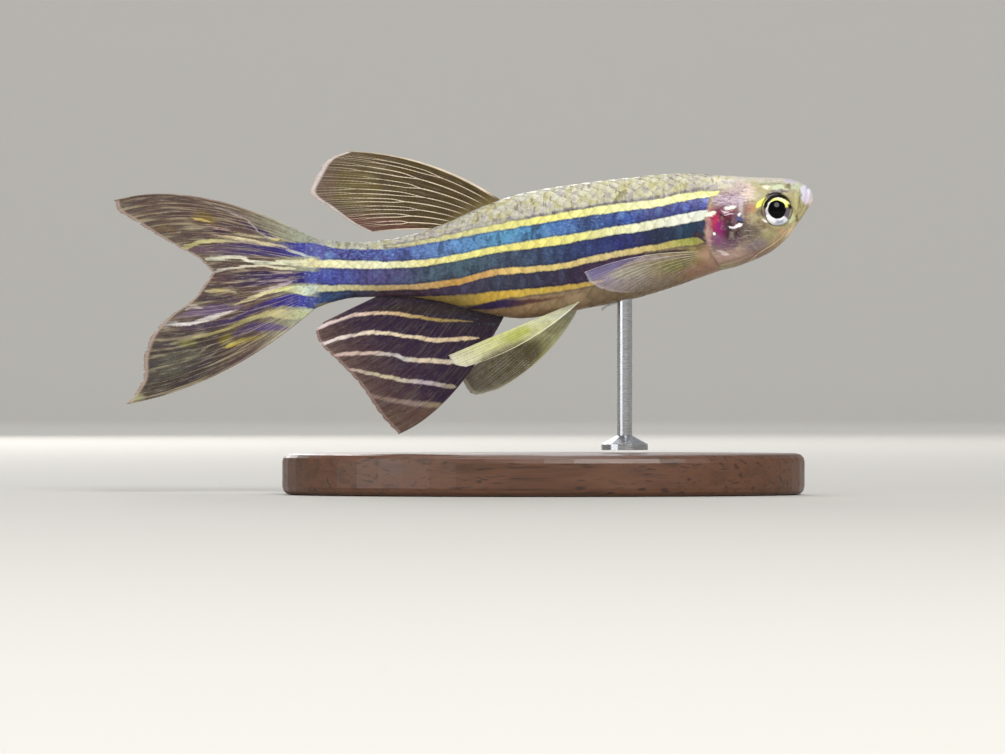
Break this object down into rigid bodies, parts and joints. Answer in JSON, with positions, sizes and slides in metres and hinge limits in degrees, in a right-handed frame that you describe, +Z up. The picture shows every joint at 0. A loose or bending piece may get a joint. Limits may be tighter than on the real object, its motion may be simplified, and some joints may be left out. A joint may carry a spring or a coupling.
{
  "type": "zebra danio model",
  "caption": "Life-size still model of a swimming zebra danio with a striped body and swept fins, held over an oval base by a thin upright rod.",
  "frame": {"origin": "centre of the underside of the stand's base, on the surface it stands on", "axes": "+X towards the fish's head, +Y to the fish's left, +Z up"},
  "size_m": [0.0512, 0.021, 0.0251],
  "materials": {
    "head_skin": "satin olive skin",
    "jaw_skin": "satin silvery skin",
    "gill_cover": "pearly rose",
    "eye": "wet gloss",
    "striped_skin": "pearly scales, blue and yellow stripes",
    "dorsal_fin": "thin translucent olive",
    "anal_fin": "thin purple with cream stripes",
    "tail_fin": "thin, blue and yellow stripes",
    "paired_fins": "thin translucent",
    "stand_wood": "satin dark wood",
    "stand_metal": "brushed steel"
  },
  "bodies": {
    "root": {"head": "head_skin", "lower_jaw": "jaw_skin", "gill_cover_left": "gill_cover", "gill_cover_right": "gill_cover", "eye_left": "eye", "eye_right": "eye", "torso": "striped_skin", "tail_stem": "striped_skin", "dorsal_fin": "dorsal_fin", "anal_fin": "anal_fin", "tail_fin_upper": "tail_fin", "tail_fin_lower": "tail_fin", "pectoral_fin_left": "paired_fins", "pectoral_fin_right": "paired_fins", "pelvic_fin_left": "paired_fins", "pelvic_fin_right": "paired_fins", "stand_base": "stand_wood", "stand_rod": "stand_metal"}
  },
  "joints": []
}
